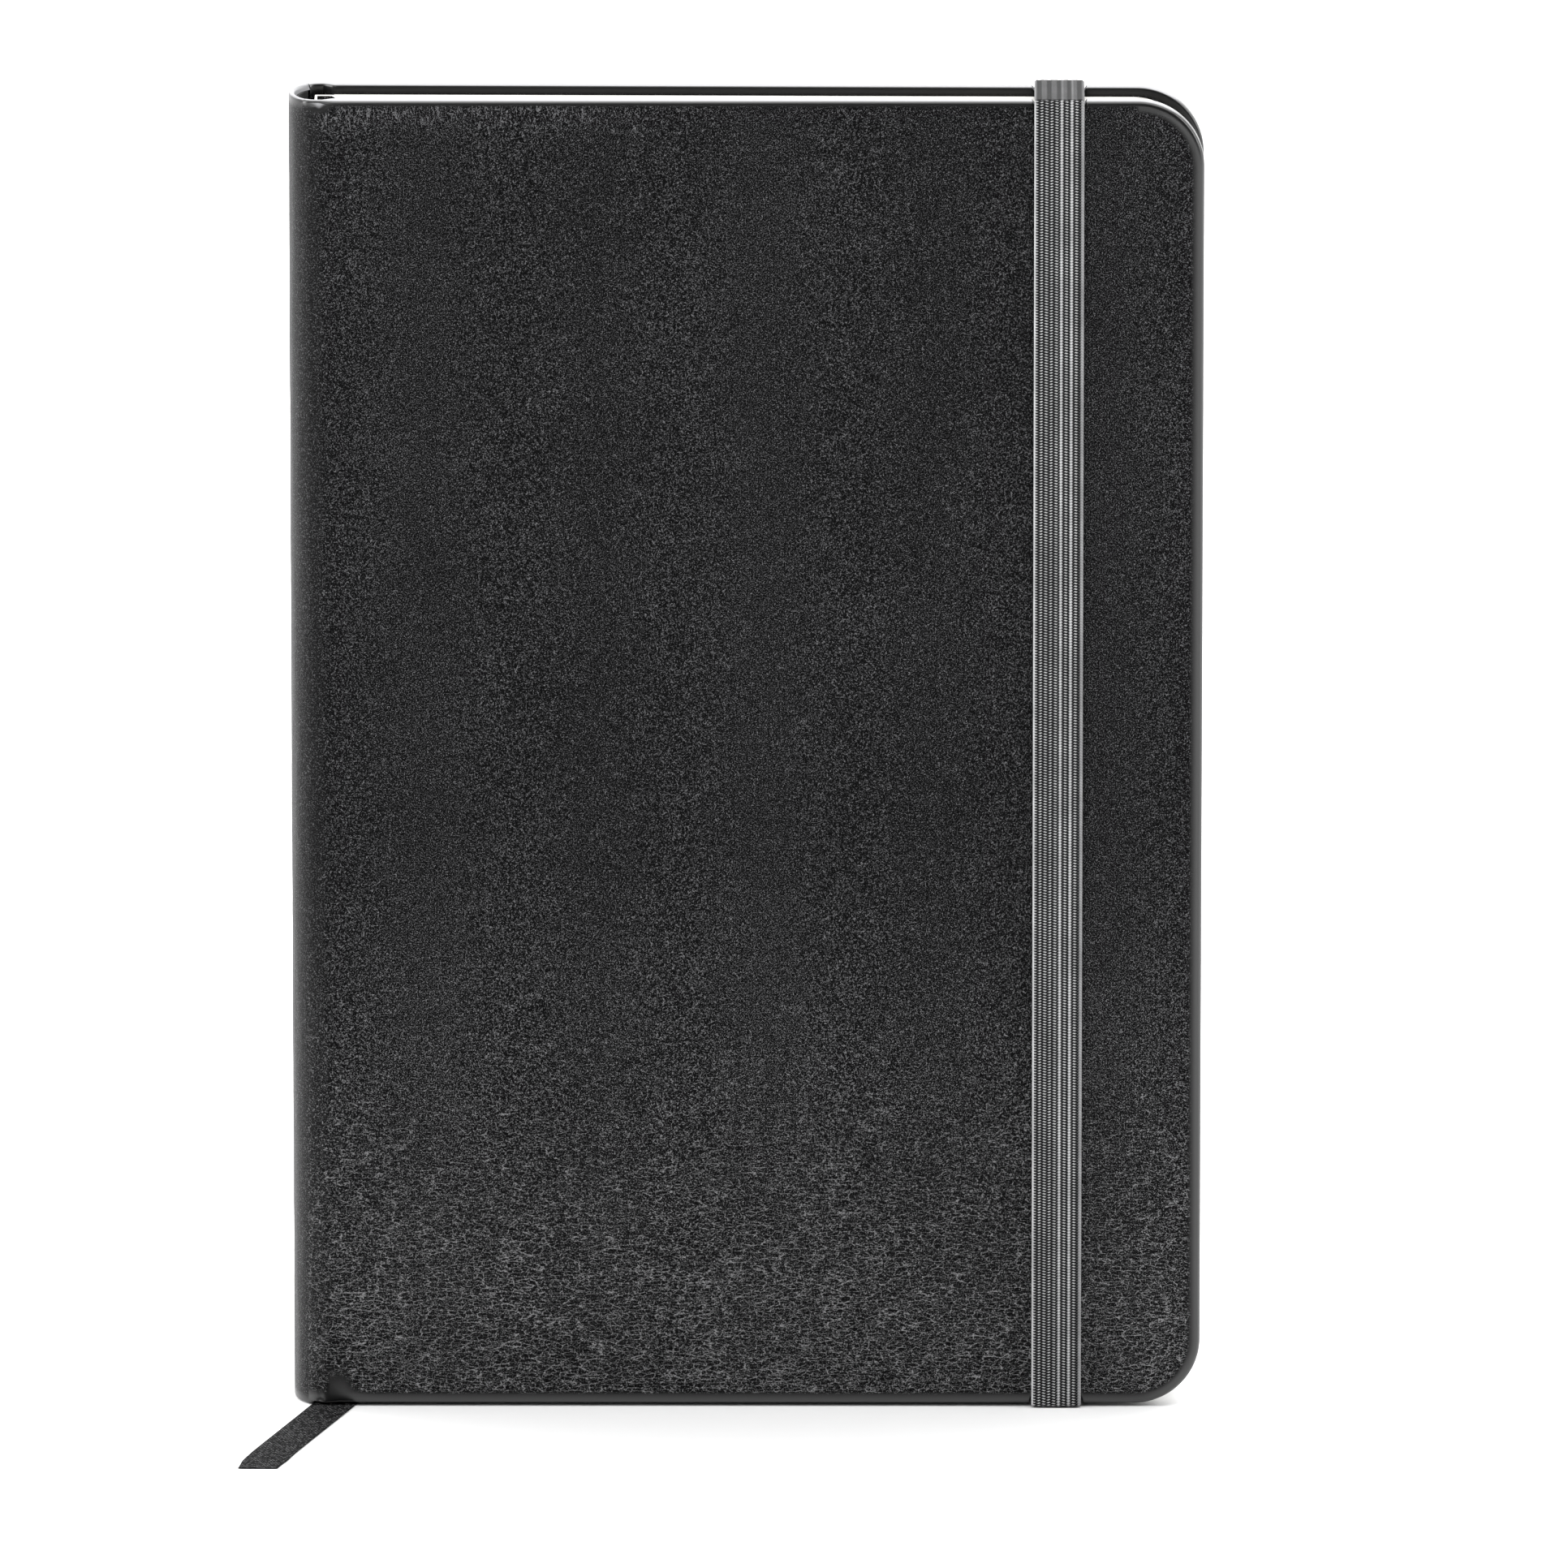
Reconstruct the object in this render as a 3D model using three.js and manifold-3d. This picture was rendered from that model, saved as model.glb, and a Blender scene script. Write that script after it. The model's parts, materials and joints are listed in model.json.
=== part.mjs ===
// Hardcover sketchbook, A5 size, standing upright on its tail edge.
// Millimetres, +Z up. +X runs from the spine to the fore-edge, and the front cover faces -Y.
// The origin is on the floor, under the middle of the closed book.

import * as THREE from 'three';
import { mergeVertices } from 'three/addons/utils/BufferGeometryUtils.js';
import Module from 'manifold-3d';

const wasm = await Module();
wasm.setup();

// ---------- driving dimensions ----------

const WIDTH = 143; // spine to fore-edge
const HEIGHT = 210; // floor to the head edge of the covers
const SPINE_THICKNESS = 16; // over both covers, at the spine
const FORE_THICKNESS = 14; // over both covers, at the fore-edge, where the elastic presses them together

// case: leatherette over boards
const LEATHER = 0.6;
const TURN_IN = 12; // leather folded over the board's edges to its inner side
const TURN_IN_THICKNESS = 0.4;
const WINDOW_CORNER = 1; // radius of the corners between the turned-in edges
const BOARD = 1.5;
const FIT = 0.1; // glue gap between layers
const CORNER = 10.5; // radius of the fore-edge corners
const COVER_TAIL = 0.45; // the elastic and the ribbon lift the covers' tail edges off the floor
const SPINE_DEPTH = 5.5; // how far the rounded spine stands out past the joints
const SPINE_END = 2.4; // where the spine's leather meets the joint leather
const SPINE_LEATHER = 0.7;
const JOINT_START = 2.7;
const JOINT_END = 6.4;
const COVER_START = 6.7; // spine side of each cover

// joints
const JOINT_U = 5; // distance of both cover joints from the outside of the spine

// text block
const SECTIONS = 10;
const SQUARE = 1.5; // covers stand this far past the pages at head and tail
const PAGE_TAIL = COVER_TAIL + SQUARE;
const PAGE_HEAD = HEIGHT - SQUARE;
const PAGE_FORE = WIDTH - 2;
const PAGE_CORNER = 9;
const FOLD_END = 4; // outside of the section folds, from the outside of the spine
const SECTION = 0.68; // thickness of one section
const PITCH_SPINE = 0.9; // sections are further apart at the spine, where the thread swells them
const PITCH_FORE = 0.7;
const RIBBON_ROOM = 0.15; // half the room left in the middle for the ribbon
const PAPER = 0.2; // endpaper thickness
const FLYLEAF_U = 7;
const FLYLEAF_SPINE_Y = 4.77;
const FLYLEAF_FORE_Y = 3.83;
const PASTEDOWN_INSET = 2.5;

// spine lining and sewing
const STRIP_ANGLE = 50; // half the angle the card strip covers inside the spine
const STRIP = 0.65;
const STRIP_GAP = 0.15;
const STRIP_MARGIN = 1;
const MULL_U = 3.1;
const MULL = 0.25;
const MULL_HALF_WIDTH = 4.6;
const MULL_MARGIN = 12;
const THREAD_U = 3.68;
const THREAD_RADIUS = 0.14;
const THREAD_STATIONS = [30, 80, 130, 180];

// elastic closure
const ELASTIC_U = 120.4; // centre line
const ELASTIC_WIDTH = 7.8;
const ELASTIC = 1;
const ELASTIC_GAP = 0.15;
const ELASTIC_OUT = 8.35; // outer face of the elastic, front and back
const ELASTIC_HEAD = HEIGHT + 0.6; // top of the turn over the head
const NOTCH_SIDE = 0.3; // room beside the elastic in the covers' edges
const NOTCH_DEPTH_GAP = 0.2;
const SLIT_FROM_EDGE = 25; // slits in the back cover, from its head and tail edges
const SLIT_DEPTH_Y = 5; // how far in the elastic's ends reach

// ribbon bookmark
const RIBBON_WIDTH = 7; // measured along x
const RIBBON = 0.2;
const RIBBON_U = 8; // centre of the ribbon in the gutter
const RIBBON_EXIT_Y = -8; // where it comes out from under the front cover
const RIBBON_FLOOR = 0.13; // height of the ribbon's middle where it lies on the floor
const RIBBON_ABOVE_PAGES = 0.7;
const RIBBON_SPLIT = 0.15; // half the gap between the ribbon in the book and its free end

const COLOURS = {
  leather: 0x1c1c1f,
  board: 0x8a7f70,
  paper: 0xf4f3ef,
  endpaper: 0xefeee9,
  mull: 0xd8d4c8,
  thread: 0xf2f0ea,
  elastic: 0x55555a,
  ribbon: 0x121213,
};

const half = SPINE_THICKNESS / 2;
const taper = Math.atan((SPINE_THICKNESS - FORE_THICKNESS) / 2 / (WIDTH - JOINT_U));
const sketchbook = new THREE.Group();

// ---------- helpers ----------

// x of a point that lies u from the outside of the spine
function fromSpine(u) {
  return u - WIDTH / 2;
}

function material(kind, roughness) {
  return new THREE.MeshStandardMaterial({ color: COLOURS[kind], roughness, metalness: 0 });
}

function addMesh(parent, name, geometry, kind, roughness = 0.8) {
  const mesh = new THREE.Mesh(geometry, material(kind, roughness));
  mesh.name = name;
  parent.add(mesh);
  return mesh;
}

function groupAt(x, y, turn) {
  const group = new THREE.Group();
  group.position.set(x, y, 0);
  group.rotation.z = turn;
  sketchbook.add(group);
  return group;
}

function toSolid(geometry) {
  const bare = geometry.clone();
  bare.deleteAttribute('normal');
  bare.deleteAttribute('uv');
  const merged = mergeVertices(bare, 1e-4);
  return new wasm.Manifold(new wasm.Mesh({
    numProp: 3,
    vertProperties: new Float32Array(merged.attributes.position.array),
    triVerts: new Uint32Array(merged.index.array),
  }));
}

function fromSolid(solid) {
  const mesh = solid.getMesh();
  const geometry = new THREE.BufferGeometry();
  geometry.setAttribute('position', new THREE.BufferAttribute(mesh.vertProperties, 3));
  geometry.setIndex(new THREE.BufferAttribute(mesh.triVerts, 1));
  geometry.computeVertexNormals();
  return geometry;
}

// a shape drawn in x and z, made solid from y = low to y = high
function slab(shape, low, high) {
  const geometry = new THREE.ExtrudeGeometry(shape, {
    depth: high - low,
    bevelEnabled: false,
    curveSegments: 10,
  });
  geometry.rotateX(Math.PI / 2);
  geometry.translate(0, high, 0);
  return geometry;
}

// a shape drawn in x and y, made solid from z = low to z = high
function column(shape, low, high) {
  const geometry = new THREE.ExtrudeGeometry(shape, {
    depth: high - low,
    bevelEnabled: false,
    curveSegments: 8,
  });
  geometry.translate(0, 0, low);
  return geometry;
}

// a shape drawn in y and z, made solid from x = low to x = high
function bar(shape, low, high) {
  const geometry = new THREE.ExtrudeGeometry(shape, { depth: high - low, bevelEnabled: false });
  geometry.applyMatrix4(new THREE.Matrix4().set(
    0, 0, 1, low,
    1, 0, 0, 0,
    0, 1, 0, 0,
    0, 0, 0, 1,
  ));
  return geometry;
}

function box(x0, x1, y0, y1, z0, z1) {
  const geometry = new THREE.BoxGeometry(x1 - x0, y1 - y0, z1 - z0);
  geometry.translate((x0 + x1) / 2, (y0 + y1) / 2, (z0 + z1) / 2);
  return geometry;
}

function polygon(points) {
  return new THREE.Shape(points.map(([a, b]) => new THREE.Vector2(a, b)));
}

// a rectangle with its two corners on the right rounded
function pageOutline(left, right, bottom, top, radius) {
  const shape = new THREE.Shape();
  shape.moveTo(left, bottom);
  shape.absarc(right - radius, bottom + radius, radius, -Math.PI / 2, 0, false);
  shape.absarc(right - radius, top - radius, radius, 0, Math.PI / 2, false);
  shape.lineTo(left, top);
  shape.closePath();
  return shape;
}

// ---------- covers ----------

// Cover outline in x (from the joint) and z, drawn in by inset, with a shallow notch for the elastic
// in its head and tail edges.
function coverOutline(inset) {
  const left = COVER_START - JOINT_U + inset;
  const right = WIDTH - JOINT_U - inset;
  const bottom = COVER_TAIL + inset;
  const top = HEIGHT - inset;
  const radius = CORNER - inset;
  const notchLeft = ELASTIC_U - JOINT_U - ELASTIC_WIDTH / 2 - NOTCH_SIDE - inset;
  const notchRight = ELASTIC_U - JOINT_U + ELASTIC_WIDTH / 2 + NOTCH_SIDE + inset;
  const notchTail = ELASTIC + NOTCH_DEPTH_GAP + inset;
  const notchHead = ELASTIC_HEAD - ELASTIC - NOTCH_DEPTH_GAP - inset;
  const shape = new THREE.Shape();
  shape.moveTo(left, bottom);
  shape.lineTo(notchLeft, bottom);
  shape.lineTo(notchLeft, notchTail);
  shape.lineTo(notchRight, notchTail);
  shape.lineTo(notchRight, bottom);
  shape.absarc(right - radius, bottom + radius, radius, -Math.PI / 2, 0, false);
  shape.absarc(right - radius, top - radius, radius, 0, Math.PI / 2, false);
  shape.lineTo(notchRight, top);
  shape.lineTo(notchRight, notchHead);
  shape.lineTo(notchLeft, notchHead);
  shape.lineTo(notchLeft, top);
  shape.lineTo(left, top);
  shape.closePath();
  return shape;
}

// where the board shows between the turned-in edges, which are at the head, the tail and the fore-edge
function turnInWindow() {
  const left = COVER_START - JOINT_U + LEATHER;
  const right = WIDTH - JOINT_U - TURN_IN;
  return pageOutline(left, right, COVER_TAIL + TURN_IN, HEIGHT - TURN_IN, WINDOW_CORNER);
}

// Layers of one cover, as distances in from its outer face.
const boardOut = LEATHER + FIT;
const boardIn = boardOut + BOARD;
const turnInOut = boardIn + FIT;
const turnInIn = turnInOut + TURN_IN_THICKNESS;
const pastedownOut = turnInIn + FIT;
const pastedownIn = pastedownOut + PAPER;

// side is -1 for the front cover and +1 for the back cover
function layer(outline, side, outer, inner) {
  const a = side * (half - outer);
  const b = side * (half - inner);
  return slab(outline, Math.min(a, b), Math.max(a, b));
}

// the two slits that the elastic's ends pass through
function slitCutters() {
  const left = ELASTIC_U - JOINT_U - ELASTIC_WIDTH / 2 - NOTCH_SIDE;
  const right = ELASTIC_U - JOINT_U + ELASTIC_WIDTH / 2 + NOTCH_SIDE;
  return [SLIT_FROM_EDGE, HEIGHT - SLIT_FROM_EDGE].map((z) => {
    const room = ELASTIC / 2 + NOTCH_DEPTH_GAP;
    return toSolid(box(left, right, half - turnInOut - 1, half + 1, z - room, z + room));
  });
}

function makeCover(name, side) {
  const group = groupAt(fromSpine(JOINT_U), 0, -side * taper);
  const slits = side > 0 ? slitCutters() : [];
  let leather = toSolid(layer(coverOutline(0), side, 0, turnInIn));
  leather = leather.subtract(toSolid(layer(coverOutline(LEATHER), side, LEATHER, turnInOut)));
  leather = leather.subtract(toSolid(layer(turnInWindow(), side, boardIn, turnInIn + 1)));
  let board = toSolid(layer(coverOutline(boardOut), side, boardOut, boardIn));
  for (const slit of slits) {
    leather = leather.subtract(slit);
    board = board.subtract(slit);
  }
  addMesh(group, `${name}_cover_leather`, fromSolid(leather), 'leather', 0.5);
  addMesh(group, `${name}_board`, fromSolid(board), 'board', 0.9);
  const pastedown = layer(coverOutline(PASTEDOWN_INSET), side, pastedownOut, pastedownIn);
  addMesh(group, `${name}_pastedown`, pastedown, 'endpaper', 0.85);
}

// ---------- spine ----------

// a curved strip between two ellipses that share the joints' line as their centre
function spineProfile(outerDepth, outerHalf, innerDepth, innerHalf, angle) {
  const steps = 24;
  const outer = [];
  const inner = [];
  for (let i = 0; i <= steps; i += 1) {
    const a = angle * (2 * i / steps - 1);
    outer.push([fromSpine(SPINE_DEPTH - outerDepth * Math.cos(a)), outerHalf * Math.sin(a)]);
    inner.unshift([fromSpine(SPINE_DEPTH - innerDepth * Math.cos(a)), innerHalf * Math.sin(a)]);
  }
  return polygon([...outer.reverse(), ...inner.reverse()]);
}

function makeSpine() {
  const endAngle = Math.acos(1 - SPINE_END / SPINE_DEPTH);
  const leather = spineProfile(
    SPINE_DEPTH, half, SPINE_DEPTH - SPINE_LEATHER, half - SPINE_LEATHER, endAngle,
  );
  addMesh(sketchbook, 'spine_leather', column(leather, 0, HEIGHT), 'leather', 0.5);

  const under = SPINE_LEATHER + STRIP_GAP;
  const strip = spineProfile(
    SPINE_DEPTH - under, half - under,
    SPINE_DEPTH - under - STRIP, half - under - STRIP,
    THREE.MathUtils.degToRad(STRIP_ANGLE),
  );
  addMesh(sketchbook, 'spine_strip', column(strip, STRIP_MARGIN, HEIGHT - STRIP_MARGIN), 'board', 0.9);

  const mull = box(
    fromSpine(MULL_U), fromSpine(MULL_U + MULL), -MULL_HALF_WIDTH, MULL_HALF_WIDTH,
    MULL_MARGIN, HEIGHT - MULL_MARGIN,
  );
  addMesh(sketchbook, 'spine_mull', mull, 'mull', 0.95);
}

// y of the case's outer face at u, on the front side
function caseFace(u) {
  const reach = Math.max(0, SPINE_DEPTH - u) / SPINE_DEPTH;
  return -half * Math.sqrt(1 - reach * reach);
}

// flexible leather between the spine and each cover
function makeJointLeather(name, side) {
  const steps = 8;
  const outer = [];
  const inner = [];
  for (let i = 0; i <= steps; i += 1) {
    const u = JOINT_START + (JOINT_END - JOINT_START) * i / steps;
    outer.push([fromSpine(u), -side * caseFace(u)]);
    inner.unshift([fromSpine(u), -side * (caseFace(u) + SPINE_LEATHER)]);
  }
  const strip = polygon([...outer, ...inner]);
  addMesh(sketchbook, `${name}_joint_leather`, column(strip, COVER_TAIL, HEIGHT), 'leather', 0.5);
}

// ---------- text block ----------

// How far a section's middle lies from the centre plane, at the spine and at the fore-edge.
function sectionPlace(number) {
  const fromMiddle = number - (SECTIONS + 1) / 2;
  const side = Math.sign(fromMiddle);
  return [PITCH_SPINE, PITCH_FORE].map((pitch) => side * RIBBON_ROOM + fromMiddle * pitch);
}

function makeSection(number) {
  const [spineY, foreY] = sectionPlace(number);
  const radius = SECTION / 2;
  const foldU = FOLD_END + radius;
  const length = PAGE_FORE - foldU;
  const turn = Math.atan((foreY - spineY) / length);
  const profile = new THREE.Shape();
  profile.moveTo(length + 1, -radius);
  profile.lineTo(length + 1, radius);
  profile.absarc(0, 0, radius, Math.PI / 2, 3 * Math.PI / 2, false);
  const folded = toSolid(column(profile, 0, HEIGHT));
  const outline = pageOutline(-1, length, PAGE_TAIL, PAGE_HEAD, PAGE_CORNER);
  const trimmed = toSolid(slab(outline, -2, 2));
  const group = groupAt(fromSpine(foldU), spineY, turn);
  const name = `section_${String(number).padStart(2, '0')}`;
  addMesh(group, name, fromSolid(folded.intersect(trimmed)), 'paper', 0.85);
}

// free half of each folded endpaper
function makeFlyleaf(name, side) {
  const length = PAGE_FORE - FLYLEAF_U;
  const turn = Math.atan(side * (FLYLEAF_FORE_Y - FLYLEAF_SPINE_Y) / length);
  const outline = pageOutline(0, length, PAGE_TAIL, PAGE_HEAD, PAGE_CORNER);
  const group = groupAt(fromSpine(FLYLEAF_U), side * FLYLEAF_SPINE_Y, turn);
  addMesh(group, `${name}_flyleaf`, slab(outline, -PAPER / 2, PAPER / 2), 'endpaper', 0.85);
}

// each thread crosses the folds of all the sections
function makeThreads() {
  const length = (SECTIONS - 1) * PITCH_SPINE + 2 * RIBBON_ROOM;
  THREAD_STATIONS.forEach((z, index) => {
    const thread = new THREE.CylinderGeometry(THREAD_RADIUS, THREAD_RADIUS, length, 10);
    thread.translate(fromSpine(THREAD_U), 0, z);
    addMesh(sketchbook, `sewing_thread_${index + 1}`, thread, 'thread', 0.9);
  });
}

// ---------- elastic closure ----------

function makeElastic() {
  const left = fromSpine(ELASTIC_U - ELASTIC_WIDTH / 2);
  const right = fromSpine(ELASTIC_U + ELASTIC_WIDTH / 2);
  const inner = ELASTIC_OUT - ELASTIC;
  const low = ELASTIC + ELASTIC_GAP;
  const high = ELASTIC_HEAD - ELASTIC - ELASTIC_GAP;
  const front = box(left, right, -ELASTIC_OUT, -inner, low, high);
  addMesh(sketchbook, 'elastic_front', front, 'elastic', 0.9);
  const head = box(left, right, -ELASTIC_OUT, ELASTIC_OUT, ELASTIC_HEAD - ELASTIC, ELASTIC_HEAD);
  addMesh(sketchbook, 'elastic_head_turn', head, 'elastic', 0.9);
  const tail = box(left, right, -ELASTIC_OUT, ELASTIC_OUT, 0, ELASTIC);
  addMesh(sketchbook, 'elastic_tail_turn', tail, 'elastic', 0.9);

  // Each end runs down the back cover's outer face and turns in through its slit.
  const ends = [
    ['elastic_end_tail', low, SLIT_FROM_EDGE, 1],
    ['elastic_end_head', high, HEIGHT - SLIT_FROM_EDGE, -1],
  ];
  for (const [name, edge, slit, way] of ends) {
    const far = slit + way * ELASTIC / 2;
    const near = slit - way * ELASTIC / 2;
    const profile = polygon([
      [ELASTIC_OUT, edge],
      [ELASTIC_OUT, far],
      [SLIT_DEPTH_Y, far],
      [SLIT_DEPTH_Y, near],
      [inner, near],
      [inner, edge],
    ]);
    addMesh(sketchbook, name, bar(profile, left, right), 'elastic', 0.9);
  }
}

// ---------- ribbon bookmark ----------

// Middle of the ribbon in the book, from the head of the gutter to the cover's outer face. The first
// number of each point is its distance sideways from the middle of the gutter.
const ribbonInside = [
  [0, 0, PAGE_HEAD + RIBBON_ABOVE_PAGES], [0, 0, 120], [0, 0, 30], [0, 0, 2.1], [0, -0.12, 1.55],
  [-0.05, -0.6, 1.15], [-0.2, -1.6, 0.8], [-0.45, -3.2, 0.4], [-0.85, -4.8, 0.18],
  [-1.3, -6.4, RIBBON_FLOOR], [-1.72, RIBBON_EXIT_Y + RIBBON_SPLIT, RIBBON_FLOOR],
];

// Middle of the free end on the floor, in the same way. It drifts to the spine side.
const ribbonOutside = [
  [-1.8, RIBBON_EXIT_Y - RIBBON_SPLIT], [-2.62, -11], [-3.47, -14], [-4.33, -17], [-5.18, -20],
  [-6.04, -23], [-6.9, -26], [-7.76, -29], [-8.62, -32], [-9.32, -34.5], [-10.02, -37],
  [-10.66, -39.5], [-11.27, -42], [-11.83, -44.5], [-12.4, -47.3],
].map(([sideways, y]) => [sideways, y, RIBBON_FLOOR]);

// A flat strip along the points. Its width lies along x, so its cut end is parallel to the cover.
function makeRibbon(name, points) {
  const positions = [];
  const triangles = [];
  points.forEach(([sideways, y, z], i) => {
    const before = points[Math.max(0, i - 1)];
    const after = points[Math.min(points.length - 1, i + 1)];
    const along = new THREE.Vector2(after[1] - before[1], after[2] - before[2]).normalize();
    const middle = fromSpine(RIBBON_U) + sideways;
    for (const [across, up] of [[-1, -1], [1, -1], [1, 1], [-1, 1]]) {
      positions.push(
        middle + across * RIBBON_WIDTH / 2,
        y - up * along.y * RIBBON / 2,
        z + up * along.x * RIBBON / 2,
      );
    }
    for (let side = 0; i > 0 && side < 4; side += 1) {
      const a = 4 * (i - 1) + side;
      const b = 4 * (i - 1) + (side + 1) % 4;
      triangles.push(a, b + 4, b, a, a + 4, b + 4);
    }
  });
  const last = 4 * (points.length - 1);
  triangles.push(0, 1, 2, 0, 2, 3, last, last + 2, last + 1, last, last + 3, last + 2);
  const geometry = new THREE.BufferGeometry();
  geometry.setAttribute('position', new THREE.Float32BufferAttribute(positions, 3));
  geometry.setIndex(triangles);
  geometry.computeVertexNormals();
  addMesh(sketchbook, name, geometry, 'ribbon', 0.7);
}

// ---------- assembly ----------

makeCover('front', -1);
makeCover('back', 1);
makeSpine();
makeJointLeather('front', -1);
makeJointLeather('back', 1);
for (let number = 1; number <= SECTIONS; number += 1) {
  makeSection(number);
}
makeFlyleaf('front', -1);
makeFlyleaf('back', 1);
makeThreads();
makeElastic();
makeRibbon('ribbon_bookmark', ribbonInside);
makeRibbon('ribbon_free_end', ribbonOutside);

export default sketchbook;
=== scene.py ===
"""Hardcover sketchbook in black leatherette, with an elastic closure and a ribbon bookmark.

Metres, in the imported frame: +Z up the spine, +X from the spine to the fore-edge, front cover at -Y.
"""
import json
import math
import random

import bmesh
import bpy
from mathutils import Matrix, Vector, noise

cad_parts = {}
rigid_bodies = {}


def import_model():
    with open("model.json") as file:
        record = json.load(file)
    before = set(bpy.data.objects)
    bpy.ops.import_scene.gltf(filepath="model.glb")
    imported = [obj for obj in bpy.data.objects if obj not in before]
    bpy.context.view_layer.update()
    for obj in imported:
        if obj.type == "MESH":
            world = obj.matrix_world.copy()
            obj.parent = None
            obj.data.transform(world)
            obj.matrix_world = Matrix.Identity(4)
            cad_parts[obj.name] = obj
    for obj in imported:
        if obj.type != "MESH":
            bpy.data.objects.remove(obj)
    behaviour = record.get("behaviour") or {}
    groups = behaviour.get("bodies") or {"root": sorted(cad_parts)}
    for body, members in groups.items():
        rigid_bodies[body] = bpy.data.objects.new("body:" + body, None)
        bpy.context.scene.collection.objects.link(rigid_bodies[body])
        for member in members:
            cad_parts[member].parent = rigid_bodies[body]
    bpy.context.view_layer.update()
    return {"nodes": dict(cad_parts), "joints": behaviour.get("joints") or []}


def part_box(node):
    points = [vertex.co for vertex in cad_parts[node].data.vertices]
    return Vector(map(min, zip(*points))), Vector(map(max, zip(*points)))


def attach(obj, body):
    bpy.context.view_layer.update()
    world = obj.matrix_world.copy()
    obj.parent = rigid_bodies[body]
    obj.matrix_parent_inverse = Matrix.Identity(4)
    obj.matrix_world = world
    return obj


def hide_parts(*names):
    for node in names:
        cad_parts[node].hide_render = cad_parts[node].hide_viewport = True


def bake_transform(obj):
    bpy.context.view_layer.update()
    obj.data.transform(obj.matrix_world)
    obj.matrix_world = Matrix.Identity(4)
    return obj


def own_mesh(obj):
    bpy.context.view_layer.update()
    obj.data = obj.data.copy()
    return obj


for thing in list(bpy.data.objects):
    bpy.data.objects.remove(thing)
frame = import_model()

MM = 0.001

# ---------- sizes, in millimetres ----------

HALF_THICKNESS = 8.0  # half the closed book, at the spine
SPINE_DEPTH = 5.5  # how far the rounded spine stands out
JOINT_U = 5.0  # cover joints, from the outside of the spine
SPINE_END = 2.4  # the spine's skin ends here and the covers' skins begin
BOARD_START = 7.3  # the covers have their full thickness from here on
CORNER = 10.5  # radius of the covers' fore-edge corners
COVER_TAIL = 0.45  # height of the covers' tail edges over the floor
SKIN = 0.45  # thickness of the leatherette
COVER_EDGE = 2.7  # thickness of a cover, over its turned-in edge
COVER_ROUND = 0.8  # radius of that edge
SPINE_EDGE = 1.15  # the same two sizes at the spine
SPINE_ROUND = 0.5
TURN_IN = 8.0  # width of the leatherette turned in round a cover
NIP = 0.4  # depth the skin is drawn in at the head of the joint
NIP_U = 4.9
NIP_WIDTH = 1.3
GROOVE_U = 4.3  # middle of the joint's shallow groove
GROOVE_WIDTH = 0.8
DENT_REACH = 4.0  # the elastic's dents begin this far from the head and the tail
DENT_FULL = 0.8
DENT_CLEARANCE = 0.1
SHARP = 50  # degrees over which an edge of the leather is sharp
GRID = 0.7  # spacing of the covers' surface points
JOINT_GRID = 0.25  # and over the joint
DENT_GRID = 0.15  # and beside the elastic
EDGE_GRAIN = 0.35  # grain of the skin where it turns over an edge
SPINE_ROW = 1.2  # spacing of the spine's surface points, up its height

SECTIONS = 10
LEAVES = 4  # folded sheets in a section
SHEET = 0.07  # thickness of one
FOLD_RADIUS = 0.34  # half a section's thickness at its fold
SPINE_PITCH = 0.9  # from section to section, at the spine
FORE_PITCH = 0.7  # and at the fore-edge
RIBBON_ROOM = 0.15  # half the gap for the ribbon between the middle sections
PAGE_CORNER = 9.0  # radius of the pages' fore-edge corners

ELASTIC_THICKNESS = 1.0
BAND_ROUND = 0.9  # radius of the band's turns over the head and the tail
END_ROUND = 0.8  # and of its ends' turns into the slits
END_GAP = 1.15  # from the band's head and tail to where its ends begin
KNIT_RELIEF = 0.16  # depth between the stitches
STITCH = 0.45  # spacing of the elastic's stitches
WALES = 10  # columns of stitches across the elastic
SOLID_WALES = (5, 7)  # the columns that are closed, and painted lighter: a painted highlight on their raised stitches
HEAD_RIBS = 5  # ribs across the elastic where it is stretched over the head and the tail

RIBBON_WIDTH = 7.0
RIBBON_U = 8.0  # middle of the ribbon in the gutter


# ---------- small helpers ----------

def smooth(low, high, value):
    t = min(1.0, max(0.0, (value - low) / (high - low)))
    return t * t * (3 - 2 * t)


def clamp(value, low, high):
    return min(high, max(low, value))


def make_object(name, points, faces, material, attributes=None):
    """A mesh object from points in millimetres. attributes maps a name to one value for each point."""
    mesh = bpy.data.meshes.new(name)
    mesh.from_pydata([tuple(c * MM for c in p) for p in points], [], faces)
    for label, values in (attributes or {}).items():
        layer = mesh.attributes.new(label, "FLOAT", "POINT")
        layer.data.foreach_set("value", values)
    mesh.validate()
    obj = bpy.data.objects.new(name, mesh)
    bpy.context.scene.collection.objects.link(obj)
    mesh.materials.append(material)
    mesh.shade_smooth()
    return obj


def face_outwards(obj):
    """Turns every face of a closed mesh to face out."""
    shape = bmesh.new()
    shape.from_mesh(obj.data)
    bmesh.ops.recalc_face_normals(shape, faces=shape.faces)
    shape.to_mesh(obj.data)
    shape.free()


def apply_modifiers(obj):
    """Makes the modified mesh the object's own."""
    bpy.context.view_layer.update()
    graph = bpy.context.evaluated_depsgraph_get()
    mesh = bpy.data.meshes.new_from_object(obj.evaluated_get(graph))
    old = obj.data
    obj.modifiers.clear()
    obj.data = mesh
    bpy.data.meshes.remove(old)


def thicken(obj, thickness):
    """Turns an open sheet into a closed skin that lies inside it."""
    solid = obj.modifiers.new("skin", "SOLIDIFY")
    solid.thickness = thickness * MM
    solid.offset = -1
    solid.use_even_offset = False
    apply_modifiers(obj)


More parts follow.
